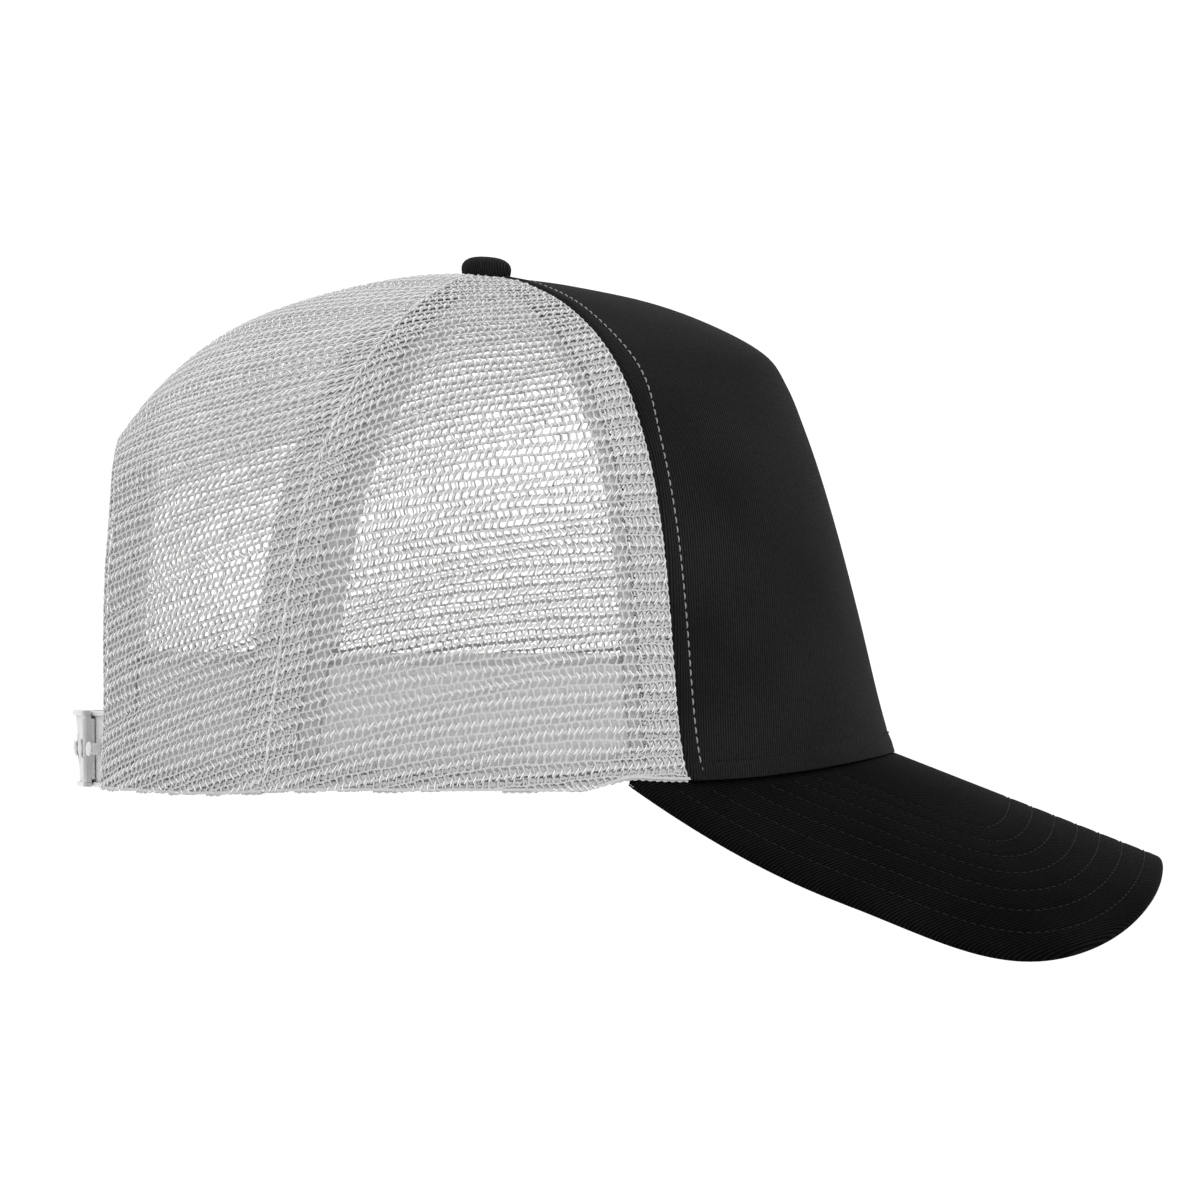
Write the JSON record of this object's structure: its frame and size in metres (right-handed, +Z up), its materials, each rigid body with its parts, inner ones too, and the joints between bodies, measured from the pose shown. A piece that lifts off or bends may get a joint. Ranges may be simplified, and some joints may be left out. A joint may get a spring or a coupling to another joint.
{
  "type": "trucker mesh cap",
  "caption": "Trucker cap with a tall twill front, knit mesh sides and back, an arched visor, a sweatband and a snap strap.",
  "frame": {"origin": "middle of the head opening, in the plane of the crown's lower edge and under the button", "axes": "+X to the front, over the visor; +Y to the wearer's left; +Z up"},
  "size_m": [0.2729, 0.1752, 0.1755],
  "materials": {
    "black_twill": "matt cotton twill with a fine diagonal rib",
    "grey_mesh": "light grey polyester knit mesh with a slight sheen",
    "grey_tape": "plain woven polyester tape",
    "grey_band": "soft brushed cotton band",
    "white_buckram": "stiff open weave fused to the twill",
    "foam_padding": "soft matt padding",
    "visor_plastic": "matt extruded sheet",
    "strap_plastic": "satin moulded polyethylene",
    "steel": "plain stamped steel"
  },
  "bodies": {
    "crown": {"front_panel": "black_twill", "front_backing": "white_buckram", "side_mesh_right": "grey_mesh", "side_mesh_left": "grey_mesh", "back_mesh_right": "grey_mesh", "back_mesh_left": "grey_mesh", "front_seam_tape_right": "grey_tape", "front_seam_tape_left": "grey_tape", "side_seam_tape_right": "grey_tape", "side_seam_tape_left": "grey_tape", "back_seam_tape": "grey_tape", "opening_binding": "grey_tape", "sweatband": "grey_band", "sweatband_padding": "foam_padding", "visor_top_cover": "black_twill", "visor_board": "visor_plastic", "visor_bottom_cover": "black_twill", "button_cover": "black_twill", "button_shell": "steel", "button_rivet": "steel", "button_base": "steel", "strap_anchor_right": "strap_plastic", "strap_anchor_left": "strap_plastic"},
    "strap_with_holes": {"snap_strap_holes": "strap_plastic"},
    "strap_with_pegs": {"snap_strap_pegs": "strap_plastic"}
  },
  "joints": [
    {"name": "hole_strap_swing", "type": "hinge", "parent": "crown", "child": "strap_with_holes", "pos_m": [-0.09369, 0.02678, 0.0097], "axis": [0, 0, -1], "range_deg": [0, 50], "stiffness_Nm_per_rad": 0.01},
    {"name": "peg_strap_swing", "type": "hinge", "parent": "crown", "child": "strap_with_pegs", "pos_m": [-0.09369, -0.02678, 0.0097], "axis": [0, 0, -1], "range_deg": [0, 30], "stiffness_Nm_per_rad": 0.01}
  ]
}
